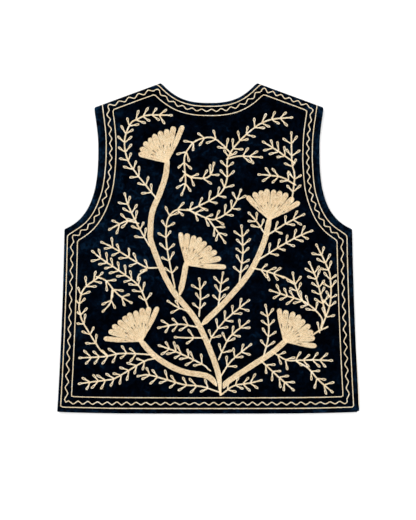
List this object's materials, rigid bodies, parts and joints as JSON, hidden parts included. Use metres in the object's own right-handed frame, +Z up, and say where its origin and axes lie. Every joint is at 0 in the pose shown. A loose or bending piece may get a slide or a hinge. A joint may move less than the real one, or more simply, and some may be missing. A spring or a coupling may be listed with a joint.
{
  "type": "embroidered folk vest",
  "caption": "Sleeveless velvet vest laid flat with its back up, with a thick chain-stitched flowering tree and a wavy border.",
  "frame": {"origin": "centre of the bounding box, at the bottom, where the fronts rest on the surface", "axes": "+Z up from the surface through the back panel, +Y towards the neck, +X to the right of someone looking down at the back, which is the wearer's right"},
  "size_m": [0.4658, 0.5096, 0.0091],
  "materials": {
    "velvet": "matt",
    "thread": "satin"
  },
  "bodies": {
    "root": {"back": "velvet", "front_left": "velvet", "front_right": "velvet", "border_inner": "thread", "border_neck": "thread", "border_outer": "thread", "border_wave": "thread", "flower_low_left": "thread", "flower_low_right": "thread", "flower_middle": "thread", "flower_top_left": "thread", "flower_top_right": "thread", "stem_low_left": "thread", "stem_low_right": "thread", "stem_middle": "thread", "stem_right": "thread", "trunk": "thread"}
  },
  "joints": []
}
